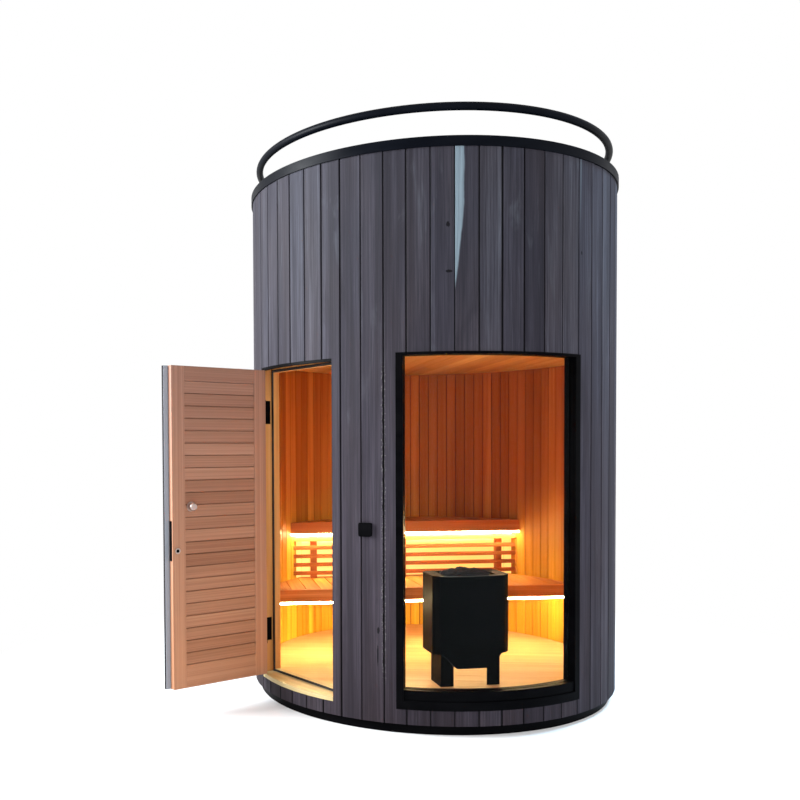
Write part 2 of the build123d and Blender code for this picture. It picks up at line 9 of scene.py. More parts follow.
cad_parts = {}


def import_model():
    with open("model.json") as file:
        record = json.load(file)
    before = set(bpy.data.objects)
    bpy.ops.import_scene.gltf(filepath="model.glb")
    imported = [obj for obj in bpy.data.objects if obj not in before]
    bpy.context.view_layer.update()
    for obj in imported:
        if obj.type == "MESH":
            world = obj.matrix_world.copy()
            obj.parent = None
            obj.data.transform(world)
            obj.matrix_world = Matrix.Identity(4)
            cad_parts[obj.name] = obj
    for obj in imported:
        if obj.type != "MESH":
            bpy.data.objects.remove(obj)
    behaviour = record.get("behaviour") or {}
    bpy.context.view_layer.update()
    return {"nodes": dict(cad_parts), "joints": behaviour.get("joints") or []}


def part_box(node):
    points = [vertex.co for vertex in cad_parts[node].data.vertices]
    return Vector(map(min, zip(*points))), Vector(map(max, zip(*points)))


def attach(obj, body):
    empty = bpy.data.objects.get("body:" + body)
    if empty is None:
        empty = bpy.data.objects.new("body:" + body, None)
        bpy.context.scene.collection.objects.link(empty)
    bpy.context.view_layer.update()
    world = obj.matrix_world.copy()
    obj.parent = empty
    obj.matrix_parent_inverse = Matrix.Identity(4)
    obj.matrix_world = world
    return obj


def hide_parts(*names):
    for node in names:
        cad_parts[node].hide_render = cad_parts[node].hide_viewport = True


# Round outdoor sauna: weathered upright boards round a warm timber room.
# Metres. Bearings are degrees from the front (-Y), positive towards +X.

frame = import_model()
NODES = frame["nodes"]

# Drum
RADIUS = 1.130
BACK = 180.0
AXIS = Vector((0, 0))
BASE_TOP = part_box("base_ring")[1].z
WALL_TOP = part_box("cladding_back")[1].z
ROOF_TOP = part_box("roof_deck")[1].z
FLOOR_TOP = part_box("floor_deck")[1].z
CEILING_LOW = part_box("ceiling")[0].z

# Outer boards, counted both ways from the joint in front
BOARD_START = 0.32
LEFT_PITCH = 6.25
RIGHT_PITCH = 6.345
BOARD_THICKNESS = 0.020
BOARD_BEVEL = 0.0030
TONGUE_DEPTH = 0.010
JOINT_GAPS = (0.0018, 0.0028, 0.0036, 0.0045)
DEEPEST_INSET = 0.0012

# Boards inside the wall and inside the parapet
LINING_RADIUS = 1.050
LINING_PITCH = 3.75
LINING_THICKNESS = 0.006
LINING_START = 0.35
LINING_GAPS = (0.0010, 0.0026)
LINING_BEVEL = 0.002
LINING_SEAT = 0.0015
PARAPET_PITCH = 6.0
PARAPET_THICKNESS = 0.008
PARAPET_FOOT = 0.006
END_GAP = 0.001

# Roof sheets, floor and ceiling
ROOF_SHEET = 0.70
ROOF_MARGIN = 0.010
ROOF_LAP = 0.030
ROOF_LIFT = 0.0002
UPPER_SHEET = 0.0045
LOWER_SHEET = 0.0020
FLOOR_BOARD = 0.120
FLOOR_THICKNESS = 0.020
FLOOR_GAP = 0.0009
FLOOR_BEARING = 4.0
FLOOR_RADIUS = 1.046
FLOOR_PALENESS = 0.75
THRESHOLD_REACH = 0.967
CEILING_BOARD = 0.096
CEILING_THICKNESS = 0.014
CEILING_GAP = 0.0012
CEILING_RADIUS = 1.048

# Window and doorway
WINDOW_LEFT = -8.8
WINDOW_RIGHT = 45.5
WINDOW_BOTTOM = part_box("window_frame")[0].z
WINDOW_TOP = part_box("window_frame")[1].z
DOOR_LEFT = -62.0
DOOR_RIGHT = -27.6
DOOR_BEARING = (DOOR_LEFT + DOOR_RIGHT) / 2
DOOR_HALF = RADIUS * sin(radians((DOOR_RIGHT - DOOR_LEFT) / 2))
DOOR_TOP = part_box("cladding_over_door")[0].z
SILL_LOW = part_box("door_sill")[0].z
JAMB_BOARD = 0.030

# Black strip over the doorway, painted shade under the boards
SHADE_STRIP_OUTER = RADIUS - 0.004
SHADE_STRIP_INNER = RADIUS - 0.022
SHADE_STRIP_STEPS = 12
SHADE_STRIP_TOP_GAP = 0.0005
SHADE_STRIP_LEAF_GAP = 0.002

# Door leaf, drawn shut and facing -Y
LEAF_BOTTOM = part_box("leaf_frame")[0].z
LEAF_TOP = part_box("leaf_frame")[1].z
LEAF_OPEN = 91.0
HINGE_EDGE = -DOOR_HALF + 0.007
LATCH_EDGE = DOOR_HALF - 0.006
LEAF_LIP = 0.027
STILE_WIDTH = 0.082
TOP_RAIL = 0.084
BOTTOM_RAIL = 0.130
LEAF_FACE = 1.018
LEAF_CORE = 0.040
LEAF_JOINT_GAP = 0.0028
LEAF_BOARD_DEPTH = 0.100
SLAT_COUNT = 23
SLAT_INSET = 0.002
SLAT_GAP = 0.0022
SLAT_DEPTH = 0.012

# Key plate on the lock, and the plate on the leaf's hinge edge
KEY_HEIGHT = 0.944
KEY_SETBACK = 0.030
KEY_SEAT = 0.0035
KEY_THICKNESS = 0.0022
KEY_INNER = 0.0095
KEY_OUTER = 0.0165
KEY_SIDES = 28
SLOT_HALF_WIDTH = 0.0022
SLOT_HALF_HEIGHT = 0.0085
SLOT_THICKNESS = 0.0012
PLATE_THICKNESS = 0.0012
PLATE_OUTER = 1.048
PLATE_INNER = 1.022
PLATE_BOTTOM = 1.118
PLATE_TOP = 1.160

# Benches
BENCH_BEARING = 15.0
SEAT_THICKNESS = 0.028
SEAT_BOARD = 0.098
SEAT_GAP = 0.0028
SEAT_END = 0.001
FASCIA = 0.022
UPPER_SEAT_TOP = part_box("upper_seat")[1].z
LOWER_SEAT_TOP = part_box("lower_seat")[1].z
UPPER_SEAT_FRONT = 0.624
LOWER_SEAT_FRONT = 0.138
FRONT_SLAT_BACK = 0.026
FRONT_SLAT_THICKNESS = 0.018
POST_DEPTH = 0.044

# Glowing sheet behind the slats, with its returns along the wall: painted light for the lit space under the
# upper seat
PANEL_GAP = 0.002
PANEL_HALF = 0.752
PANEL_SHEET = 0.004
PANEL_FOOT = 0.004
PANEL_HEAD = 0.060
PANEL_REACH = 1.0415
PANEL_RETURN = 0.040

# Heater and its stones
HEATER_BEARING = 18.35
HEATER_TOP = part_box("heater_body")[1].z
HEATER_FRONT = 0.783
HEATER_BULGE = 0.022
HEATER_HALF_BOW = 0.191
RIM_STEPS = 12
RIM_WIDTH = 0.004
RIM_DEPTH = 0.003
RIM_PROUD = 0.0006
RIM_LIFT = 0.0004
STONE_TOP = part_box("heater_stones")[1].z
STONE_MIDDLE = -0.653
TRAY_WIDTH = 0.300
TRAY_DEPTH = 0.180
TRAY_FLOOR = HEATER_TOP - 0.038
STONE_COUNT = 64
SMALLEST_STONE = 0.018
LARGEST_STONE = 0.031
TRAY_GAP = 0.004
STONE_HEADROOM = 0.008
STONE_FALL = 0.11

# Knots that show: bearing, height, half width and half height
KNOTS = (
    (4.92, 2.660, 0.009, 0.013),
    (5.17, 2.420, 0.016, 0.007),
    (46.04, 2.557, 0.006, 0.010),
    (-13.7, 0.545, 0.007, 0.016),
    (-13.9, 0.415, 0.004, 0.050),
)

# Rough joint on the pier, where two boards have worn into an uneven crack
CRACK_BEARING = -12.18
CRACK_LOW = 0.25
CRACK_HIGH = 1.98
CRACK_FADE = 0.1
CRACK_WANDER = 0.007
CRACK_NARROWEST = 0.0012
CRACK_WIDEST = 0.0075

# Pale sapwood streaks: bearing of the straight edge, widest, foot, height of full width, strength
STREAKS = (
    (6.74, 0.054, 2.32, 2.78, 0.9),
    (45.3, 0.020, 2.62, 3.05, 0.25),
)

# Painted light, tints by height: lowest, highest, tint below and tint above. The lining is yellow low down
# and redder up high, where the strips' light falls off; the leaf is brighter and warmer low down, where
# light from the doorway falls
LINING_PAINTED_LIGHT = (0.45, 1.25, (1.08, 1.28, 0.62), (0.86, 0.54, 0.50))
LEAF_PAINTED_LIGHT = (0.3, 1.9, (1.12, 1.12, 1.0), (0.78, 0.85, 0.98))

# Light
GLOW_COLOUR = (1.0, 0.74, 0.36)
GLOW_STRENGTH = 125.0
# Glow of the sheet of painted light behind the slats
PAINTED_GLOW_STRENGTH = 1.1
WORLD_COLOUR = (0.88, 0.93, 1.0)
WORLD_LIGHT = 0.46
STAGE_HALF = 40.0
STAGE_DROP = 0.0005
FADE_START = 1.3
FADE_END = 3.2

# Camera at the photograph's viewpoint. Yaw is positive to the right of +Y, pitch upwards.
CAMERA_PLACE = (0, -5.710, 1.499)
CAMERA_YAW = -9.471
CAMERA_PITCH = -1.679
CAMERA_ROLL = -0.361
CAMERA_SENSOR = 36
CAMERA_LENS = 39.197
CAMERA_SHIFT = (0.145, 0.096)

# Boards in a mesh: thinnest one kept, tint of a plain one, spread of the grain
THINNEST = 1e-4
PLAIN_TINT = 0.5
GRAIN_SPREAD = 40

rng = random.Random(7)


# Plan geometry

def direction(bearing):
    """Unit vector from the axis towards a bearing."""
    return Vector((sin(radians(bearing)), -cos(radians(bearing))))


def across(bearing):
    """Unit vector to the right of a bearing, seen from outside."""
    return Vector((cos(radians(bearing)), sin(radians(bearing))))


def turned(outline, turn):
    """A flat outline moved by a 4x4 matrix."""
    return [(turn @ p.to_3d()).to_2d() for p in outline]


def clip(outline, point, normal):
    """The part of a flat outline on the side of a line that its normal points away from."""
    kept = []
    for i, here in enumerate(outline):
        there = outline[(i + 1) % len(outline)]
        a = (here - point).dot(normal)
        b = (there - point).dot(normal)
        if a <= 0:
            kept.append(here)
        if (a < 0 < b) or (b < 0 < a):
            kept.append(here.lerp(there, a / (a - b)))
    return kept


def clip_round(outline, radius, sides=96):
    """The part of an outline inside a circle round the axis."""
    for i in range(sides):
        normal = direction(360 * i / sides)
        outline = clip(outline, normal * radius * cos(pi / sides), normal)
        if len(outline) < 3:
            return []
    return outline


# Pieces

def add_object(name, data):
    """A new object in the scene."""
    made = bpy.data.objects.new(name, data)
    bpy.context.scene.collection.objects.link(made)
    return made


def soften(piece, width):
    """Round the sharp edges of a piece with a modifier."""
    edge = piece.modifiers.new("edges", "BEVEL")
    edge.width = width
    edge.segments = 2
    edge.limit_method = "ANGLE"
    edge.angle_limit = radians(40)


def board_look(darkest=0.0, palest=1.0):
    """A random tint for one board, and a random place in the grain."""
    tint = rng.uniform(darkest, palest)
    return tint, rng.uniform(0, GRAIN_SPREAD)


class Boards:
    """Closed boards in one mesh. Each keeps its tint and its own grain coordinates."""

    def __init__(self):
        self.verts = []
        self.faces = []
        self.tints = []
        self.grain = []

    def add_point(self, place, tint, grain):
        self.verts.append(tuple(place))
        self.tints.append(tint)
        self.grain.append(grain)

    def close(self, count):
        """Faces of a closed board, whose last points are two loops of the same length."""
        far = len(self.verts) - count
        near = far - count
        self.faces.append(tuple(reversed(range(near, far))))
        self.faces.append(tuple(range(far, far + count)))
        for i in range(count):
            j = (i + 1) % count
            self.faces.append((near + i, near + j, far + j, far + i))

    def prism(self, outline, low, high, origin, side, tint=PLAIN_TINT, seed=0.0, along=None):
        """An upright prism. Grain runs along a flat unit vector, or upwards if along is None."""
        if len(outline) < 3 or high - low < THINNEST:
            return
        for z in (low, high):
            for p in outline:
                flat = p - origin
                if along is None:
                    grain = (flat.dot(side) + seed, flat.dot(side.orthogonal()), z)
                else:
                    grain = (flat.dot(along.orthogonal()) + seed, z, flat.dot(along))
                self.add_point((p.x, p.y, z), tint, grain)
        self.close(len(outline))

    def box(self, turn, lowest, highest, tint=PLAIN_TINT, seed=0.0, upright=True):
        """A box between two corners in a local frame, with grain upright or along local X."""
        x0, y0, z0 = lowest
        x1, y1, z1 = highest
        for z in (z0, z1):
            for x, y in ((x0, y0), (x1, y0), (x1, y1), (x0, y1)):
                grain = (x + seed, y, z) if upright else (z + seed, y, x)
                self.add_point(turn @ Vector((x, y, z)), tint, grain)
        self.close(4)

    def plate(self, turn, outline, near, far):
        """A flat plate drawn in the local XZ plane."""
        for y in (near, far):
            for x, z in reversed(outline):
                self.add_point(turn @ Vector((x, y, z)), PLAIN_TINT, (x, y, z))
        self.close(len(outline))

    def piece(self, name, material, slot, body="cabin", bevel=0.0, nodes=()):
        """Make the mesh, ride it on its body and hide the CAD nodes it stands for."""
        mesh = bpy.data.meshes.new(name)
        mesh.from_pydata(self.verts, [], self.faces)
        tint = mesh.attributes.new("tint", "FLOAT", "POINT")
        tint.data.foreach_set("value", self.tints)
        grain = mesh.attributes.new("grain", "FLOAT_VECTOR", "POINT")
        grain.data.foreach_set("vector", [c for g in self.grain for c in g])
        mesh.materials.append(material)
        mesh.update()
        piece = add_object(name, mesh)
        if bevel:
            soften(piece, bevel)
        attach(piece, body)
        if nodes:
            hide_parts(*nodes)


# Materials

class Nodes:
    """A small helper that adds nodes to a node tree and links them."""

    def __init__(self, tree):
        self.tree = tree
        tree.nodes.clear()

    def feed(self, socket, item):
        """Link an output to a socket, or give the socket a number, a vector or a colour."""
        if isinstance(item, bpy.types.NodeSocket):
            self.tree.links.new(item, socket)
        elif socket.type == "RGBA":
            socket.default_value = (*item, 1.0)
        else:
            socket.default_value = item

    def add(self, kind, inputs=(), **settings):
        """A new node with its settings, and its inputs by name or by number."""
        node = self.tree.nodes.new(kind)
        for key, value in settings.items():
            setattr(node, key, value)
        for key, item in dict(inputs).items():
            self.feed(node.inputs[key], item)
        return node

    def value(self, name):
        return self.add("ShaderNodeAttribute", attribute_name=name).outputs["Fac"]

    def vector(self, name):
        return self.add("ShaderNodeAttribute", attribute_name=name).outputs["Vector"]

    def position(self):
        return self.add("ShaderNodeTexCoord").outputs["Object"]

    def part(self, vector, axis):
        return self.add("ShaderNodeSeparateXYZ", {0: vector}).outputs[axis]

    def stretch(self, vector, scale, turn=(0, 0, 0)):
        return self.add("ShaderNodeMapping", {"Vector": vector, "Scale": scale, "Rotation": turn}).outputs[0]

    def noise(self, vector, scale, detail=4.0, roughness=0.55, distortion=0.0):
        inputs = {"Vector": vector, "Scale": scale, "Detail": detail}
        inputs.update({"Roughness": roughness, "Distortion": distortion})
        return self.add("ShaderNodeTexNoise", inputs).outputs["Fac"]

    def ramp(self, value, stops):
        node = self.add("ShaderNodeValToRGB", {"Fac": value})
        while len(node.color_ramp.elements) < len(stops):
            node.color_ramp.elements.new(0.5)
        for element, (place, colour) in zip(node.color_ramp.elements, stops):
            element.position = place
            element.color = (*colour, 1.0)
        return node.outputs["Color"]

    def span(self, value, low, high, to_low=0.0, to_high=1.0, kind="LINEAR"):
        inputs = {"Value": value, "From Min": low, "From Max": high, "To Min": to_low, "To Max": to_high}
        return self.add("ShaderNodeMapRange", inputs, interpolation_type=kind).outputs[0]

    def math(self, operation, a, b=0.0):
        return self.add("ShaderNodeMath", {0: a, 1: b}, operation=operation).outputs[0]

    def times(self, a, b):
        return self.math("MULTIPLY", a, b)

    def mix(self, factor, a, b, blend="MIX"):
        """Mix two colours. The colour inputs of a mix node are its seventh and eighth."""
        inputs = {0: factor, 6: a, 7: b}
        return self.add("ShaderNodeMix", inputs, data_type="RGBA", blend_type=blend).outputs[2]

    def dot(self, vector, axis):
        node = self.add("ShaderNodeVectorMath", {0: vector, 1: axis}, operation="DOT_PRODUCT")
        return node.outputs["Value"]

    def seen_directly(self):
        """One for rays that show the background itself: camera, glossy and transmission rays."""
        path = self.add("ShaderNodeLightPath").outputs
        seen = self.math("MAXIMUM", path["Is Camera Ray"], path["Is Glossy Ray"])
        return self.math("MAXIMUM", seen, path["Is Transmission Ray"])


class Shader(Nodes):
    """The nodes of a new material, round one shader."""

    SOCKETS = {
        "rough": "Roughness",
        "metal": "Metallic",
        "alpha": "Alpha",
        "specular": "Specular IOR Level",
        "colour": "Base Color",
        "glow_colour": "Emission Color",
        "glow": "Emission Strength",
    }

    def __init__(self, name):
        self.material = bpy.data.materials.new(name)
        self.material.use_nodes = True
        super().__init__(self.material.node_tree)
        self.bsdf = self.add("ShaderNodeBsdfPrincipled")
        self.out = self.add("ShaderNodeOutputMaterial", {0: self.bsdf.outputs[0]})

    def bump(self, height, strength, distance):
        node = self.add("ShaderNodeBump", {"Height": height, "Strength": strength, "Distance": distance})
        self.feed(self.bsdf.inputs["Normal"], node.outputs[0])

    def set(self, **values):
        for key, item in values.items():
            self.feed(self.bsdf.inputs[self.SOCKETS[key]], item)


def to_linear(level):
    """One channel, 0 to 255 in sRGB, as linear light."""
    if level <= 10:
        return level / 255 / 12.92
    return ((level / 255 + 0.055) / 1.055) ** 2.4


def srgb(*levels):
    """A colour given as 0 to 255 in sRGB, as linear light."""
    return tuple(to_linear(level) for level in levels)


def wood_fibres(look, grain, scale_across=1.0):
    """Two noises stretched along the grain: broad bands, and fine fibres."""
    bands = look.noise(look.stretch(grain, (22 * scale_across, 22, 0.55)), 1.0, 3.0, 0.5, 0.35)
    fibres = look.noise(look.stretch(grain, (420, 420, 3.2)), 1.0, 3.0, 0.6)
    return bands, fibres


def growth_rings(look, grain, scale):
    """Long pointed arches of growth rings."""
    inputs = {"Vector": look.stretch(grain, (1, 1, 0.045)), "Scale": scale, "Distortion": 7.0}
    inputs.update({"Detail": 3.0, "Detail Scale": 1.4})
    wave = look.add("ShaderNodeTexWave", inputs, wave_type="BANDS", bands_direction="X")
    return wave.outputs["Fac"]


def offset_from(look, place, bearing):
    """Level distance to the right of a bearing, and one where a point is near the drum's face."""
    side = look.dot(place, across(bearing).to_3d())
    outward = look.dot(place, direction(bearing).to_3d())
    return side, look.span(outward, RADIUS * 0.95, RADIUS * 0.96)


def knot_mask(look, place, bearing, height, half_width, half_height):
    """One where a point is inside a knot, with a soft uneven rim."""
    side, near_face = offset_from(look, place, bearing)
    up = look.math("SUBTRACT", look.part(place, "Z"), height)
    reach = look.math("POWER", look.times(side, 1 / half_width), 2)
    rise = look.math("POWER", look.times(up, 1 / half_height), 2)
    rough = look.noise(place, 160.0, 2.0)
    total = look.math("ADD", reach, rise)
    total = look.math("ADD", total, look.span(rough, 0.2, 0.8, -0.6, 0.6))
    return look.times(look.span(total, 0.6, 1.6, 0.95, 0.0, "SMOOTHSTEP"), near_face)


def crack_masks(look, place):
    """The dark of the rough joint, and the pale splinters along it."""
    side, near_face = offset_from(look, place, CRACK_BEARING)
    height = look.part(place, "Z")
    wander = look.noise(look.stretch(place, (0, 0, 22)), 1.0, 4.0, 0.7)
    ragged = look.noise(look.stretch(place, (30, 30, 90)), 1.0, 3.0, 0.7)
    drift = look.math("ADD", side, look.span(wander, 0.25, 0.75, -CRACK_WANDER, CRACK_WANDER))
    width = look.span(ragged, 0.35, 0.7, CRACK_NARROWEST, CRACK_WIDEST)
    inside = look.math("SUBTRACT", width, look.math("ABSOLUTE", drift))
    foot = look.span(height, CRACK_LOW, CRACK_LOW + CRACK_FADE)
    head = look.span(height, CRACK_HIGH, CRACK_HIGH - CRACK_FADE)
    ends = look.times(look.times(foot, head), near_face)
    dark = look.times(look.span(inside, -0.0006, 0.0008), ends)
    fringe = look.span(inside, -0.007, -0.002)
    fringe = look.times(fringe, look.span(ragged, 0.50, 0.60, 0.0, 0.6))
    return dark, look.times(fringe, ends)


def streak_mask(look, place, bearing, widest, foot, full, strength):
    """One inside a sapwood streak, which starts at a board's edge and tapers downwards."""
    side, near_face = offset_from(look, place, bearing)
    rise = look.span(look.part(place, "Z"), foot, full)
    waver = look.noise(look.stretch(place, (0.0, 0.0, 4.0)), 1.0, 3.0)
    fullest = look.span(waver, 0.3, 0.7, widest * 0.86, widest * 1.06)
    width = look.times(look.math("POWER", rise, 0.8), fullest)
    mask = look.span(look.math("SUBTRACT", width, side), -0.001, 0.010, 0.0, strength, "SMOOTHSTEP")
    mask = look.times(mask, look.span(side, 0.0, 0.001))
    fibres = look.noise(look.stretch(place, (200, 200, 3)), 1.0, 3.0)
    mask = look.times(mask, look.span(fibres, 0.3, 0.6, 0.6, 1.0))
    return look.times(mask, near_face)


def silvered_colour(look, bands):
    """Grey-purple bands, lighter or darker from board to board."""
    base = look.ramp(bands, [
        (0.28, srgb(48, 46, 52)),
        (0.46, srgb(66, 63, 70)),
        (0.56, srgb(76, 73, 80)),
        (0.76, srgb(94, 92, 99)),
    ])
    board = look.ramp(look.value("tint"), [
        (0.0, srgb(172, 168, 176)),
        (0.4, srgb(206, 202, 208)),
        (0.75, srgb(232, 232, 236)),
        (1.0, srgb(255, 255, 255)),
    ])
    return look.mix(1.0, base, board, "MULTIPLY")


def weather_stains(look, colour, grain):
    """Brown stains, and dark and bleached blotches along the grain."""
    blotches = look.noise(look.stretch(grain, (9.0, 9.0, 1.6)), 1.0, 4.0, 0.65, 0.8)
    stains = look.noise(look.stretch(grain, (3.0, 3.0, 0.7)), 1.0, 2.0, 0.5)
    colour = look.mix(look.span(stains, 0.42, 0.72, 0.0, 0.5), colour, srgb(64, 54, 54))
    colour = look.mix(look.span(blotches, 0.52, 0.78, 0.0, 0.65), colour, srgb(40, 36, 41))
    return look.mix(look.span(blotches, 0.22, 0.40, 0.4, 0.0), colour, srgb(98, 99, 105))


def damp_foot(look, colour, place):
    """Darker and browner towards the ground, cooler towards the rim."""
    high = look.span(look.part(place, "Z"), 0.1, 2.6)
    damp = look.ramp(high, [
        (0.0, (0.66, 0.58, 0.60)),
        (0.35, (0.92, 0.85, 0.87)),
        (1.0, (0.90, 0.97, 1.0)),
    ])
    return look.mix(1.0, colour, damp, "MULTIPLY")


def board_sides(look, colour, grain):
    """Painted shade deep in the joints, and pale behind the leaf's boards, where no weather reaches."""
    inward = look.math("ABSOLUTE", look.part(grain, "Y"))
    # Painted shade: board sides turn near black deeper into the joints
    colour = look.mix(look.span(inward, 0.0035, 0.0065, 0.0, 0.85), colour, srgb(12, 11, 13))
    return look.mix(look.span(inward, 0.0203, 0.0212), colour, srgb(136, 139, 146))


def weathered_material():
    """Silvered boards, streaked along the grain, with knots, a crack and pale sapwood streaks."""
    look = Shader("weathered_cladding")
    grain = look.vector("grain")
    place = look.position()
    bands, fibres = wood_fibres(look, grain)
    rings = growth_rings(look, grain, 16.0)
    crack, splinters = crack_masks(look, place)
    colour = weather_stains(look, silvered_colour(look, bands), grain)
    colour = look.mix(look.span(rings, 0.05, 0.45, 0.34, 0.0), colour, srgb(40, 37, 42))
    colour = look.mix(look.span(fibres, 0.32, 0.56, 0.8, 0.0), colour, srgb(34, 32, 37))
    colour = board_sides(look, damp_foot(look, colour, place), grain)
    for knot in KNOTS:
        colour = look.mix(knot_mask(look, place, *knot), colour, srgb(11, 10, 13))
    colour = look.mix(splinters, colour, srgb(116, 112, 112))
    colour = look.mix(crack, colour, srgb(9, 8, 10))
    for streak in STREAKS:
        colour = look.mix(streak_mask(look, place, *streak), colour, srgb(124, 140, 149))
    look.set(colour=colour, rough=look.span(fibres, 0.3, 0.7, 0.62, 0.82), specular=0.12)
    height = look.math("ADD", look.times(fibres, 0.8), look.times(rings, 0.4))
    look.bump(look.math("SUBTRACT", height, crack), 0.5, 0.0014)
    return look.material


def timber_material(name, shades, grain=None, rough=0.5, bands_scale=1.0, painted_light=None):
    """Planed timber with bands and fibres. Boards of the scene bring their own grain and tint."""
    look = Shader(name)
    dark, middle, light = (srgb(*shade) for shade in shades)
    lines = grain(look) if grain else look.vector("grain")
    bands, fibres = wood_fibres(look, lines, bands_scale)
    colour = look.ramp(bands, [(0.3, dark), (0.5, middle), (0.7, light)])
    if not grain:
        board = look.ramp(look.value("tint"), [(0.0, srgb(204, 190, 182)), (1.0, srgb(255, 255, 255))])
        colour = look.mix(1.0, colour, board, "MULTIPLY")
    rings = growth_rings(look, lines, 20.0)
    colour = look.mix(look.span(fibres, 0.3, 0.6, 0.35, 0.0), colour, dark)
    colour = look.mix(look.span(rings, 0.0, 0.4, 0.3, 0.0), colour, dark)
    # Painted light: a tint by height that stands in for light falling off upwards
    if painted_light:
        low, high, below, above = painted_light
        rise = look.span(look.part(look.position(), "Z"), low, high)
        colour = look.mix(1.0, colour, look.ramp(rise, [(0.0, below), (1.0, above)]), "MULTIPLY")
    uneven = look.span(fibres, 0.3, 0.7, rough - 0.06, rough + 0.1)
    look.set(colour=colour, rough=uneven, specular=0.16)
    look.bump(look.math("ADD", fibres, bands), 0.18, 0.0006)
    return look.material


def upright_grain(look):
    """Grain that runs up, for a CAD piece."""
    return look.position()


def level_grain(bearing):
    """Grain that runs level along the face at a bearing, for a CAD piece."""
    def coordinates(look):
        facing = look.stretch(look.position(), (1, 1, 1), (0, 0, -radians(bearing)))
        return look.stretch(facing, (1, 1, 1), (0, radians(90), 0))
    return coordinates


def metal_material(name, colour, rough, metal=0.0, smears=0.5, specular=0.04):
    """Powder-coated or bare metal with a fine texture and faint smears."""
    look = Shader(name)
    place = look.position()
    fine = look.noise(place, 900.0, 3.0)
    smear = look.noise(look.stretch(place, (3, 3, 9)), 1.0, 4.0, 0.6)
    dusty = tuple(min(1, c * 1.9 + 0.003) for c in colour)
    colour = look.mix(look.span(smear, 0.35, 0.75, 0.0, smears), colour, dusty)
    uneven = look.span(smear, 0.3, 0.7, rough - 0.05, rough + 0.12)
    look.set(colour=colour, rough=uneven, metal=metal, specular=specular)
    look.bump(fine, 0.05, 0.0002)
    return look.material


def glass_material():
    """Clear glass with faint smears."""
    look = Shader("clear_glass")
    look.set(colour=(0.012, 0.016, 0.016), rough=0.015, alpha=0.08, specular=0.12)
    smear = look.noise(look.stretch(look.position(), (2, 2, 7)), 1.0, 4.0)
    look.bump(smear, 0.02, 0.002)
    return look.material


def glow_material():
    """Opal diffuser lit from inside by a warm light strip."""
    look = Shader("light_diffuser")
    look.set(colour=(1.0, 0.86, 0.55), rough=0.4)
    look.set(glow_colour=GLOW_COLOUR, glow=GLOW_STRENGTH)
    return look.material


def painted_glow_material():
    """Painted light: a sheet that glows a deep warm yellow, a little unevenly, for the lit space behind the
    slats.
    """
    look = Shader("painted_glow_sheet")
    uneven = look.noise(look.position(), 4.0, 2.0)
    warm = look.ramp(uneven, [(0.3, (1.0, 0.66, 0.16)), (0.7, (1.0, 0.76, 0.24))])
    look.set(colour=(0.9, 0.7, 0.3), rough=0.5, glow_colour=warm, glow=PAINTED_GLOW_STRENGTH)
    return look.material


def membrane_material():
    """Gritty roof sheet with dust on it."""
    look = Shader("roof_membrane")
    place = look.position()
    grit = look.noise(place, 700.0, 2.0)
    dust = look.noise(place, 3.0, 5.0, 0.6)
    dusty = look.mix(look.span(dust, 0.4, 0.75, 0.0, 0.7), srgb(48, 49, 54), srgb(84, 84, 86))
    look.set(colour=dusty, rough=0.85)
    look.bump(grit, 0.5, 0.0008)
    return look.material


def stone_material():
    """Rough dark rock."""
    look = Shader("dark_stone")
    rock = look.noise(look.position(), 60.0, 6.0, 0.7)
    shades = [(0.3, srgb(12, 12, 13)), (0.55, srgb(40, 39, 39)), (0.8, srgb(84, 81, 80))]
    look.set(colour=look.ramp(rock, shades), rough=0.8)
    look.bump(rock, 0.7, 0.004)
    return look.material


def seal_material():
    """Black rubber."""
    look = Shader("black_seal")
    fine = look.noise(look.position(), 500.0, 2.0)
    colour = look.mix(look.span(fine, 0.3, 0.7), srgb(14, 14, 15), srgb(26, 26, 27))
    look.set(colour=colour, rough=0.7)
    look.bump(fine, 0.15, 0.0003)
    return look.material


def timber_materials():
    """The planed timbers: three shades each, from the dark of the bands to the light."""
    lining = ((196, 136, 58), (222, 166, 74), (234, 184, 92))
    pale = ((204, 166, 112), (216, 178, 122), (224, 190, 136))
    cedar = ((222, 160, 84), (236, 182, 102), (244, 200, 124))
    bench = ((200, 126, 56), (224, 158, 76), (236, 180, 94))
    door = ((150, 104, 81), (166, 118, 93), (178, 130, 104))
    sill = ((166, 146, 100), (180, 160, 112), (194, 174, 126))
    upright = ((178, 122, 66), (198, 142, 82), (212, 160, 100))
    orange = ((176, 100, 50), (204, 130, 70), (222, 156, 92))
    core = ((70, 42, 24), (84, 52, 30), (98, 62, 38))
    return {
        "lining": timber_material("wall_lining", lining, painted_light=LINING_PAINTED_LIGHT),
        "pale": timber_material("pale_boards", pale),
        "cedar": timber_material("cedar_trim", cedar),
        "bench": timber_material("bench_timber", bench, rough=0.45),
        # The leaf's tint by height is painted light from the doorway
        "door": timber_material("door_timber", door, bands_scale=6.0, painted_light=LEAF_PAINTED_LIGHT),
        "sill": timber_material("sill_timber", sill, level_grain(DOOR_BEARING)),
        "upright": timber_material("cedar_upright", upright, upright_grain),
        "level": timber_material("cedar_level", orange, level_grain(BENCH_BEARING)),
        "post": timber_material("post_timber", orange, upright_grain),
        "core": timber_material("wall_core", core, upright_grain),
    }


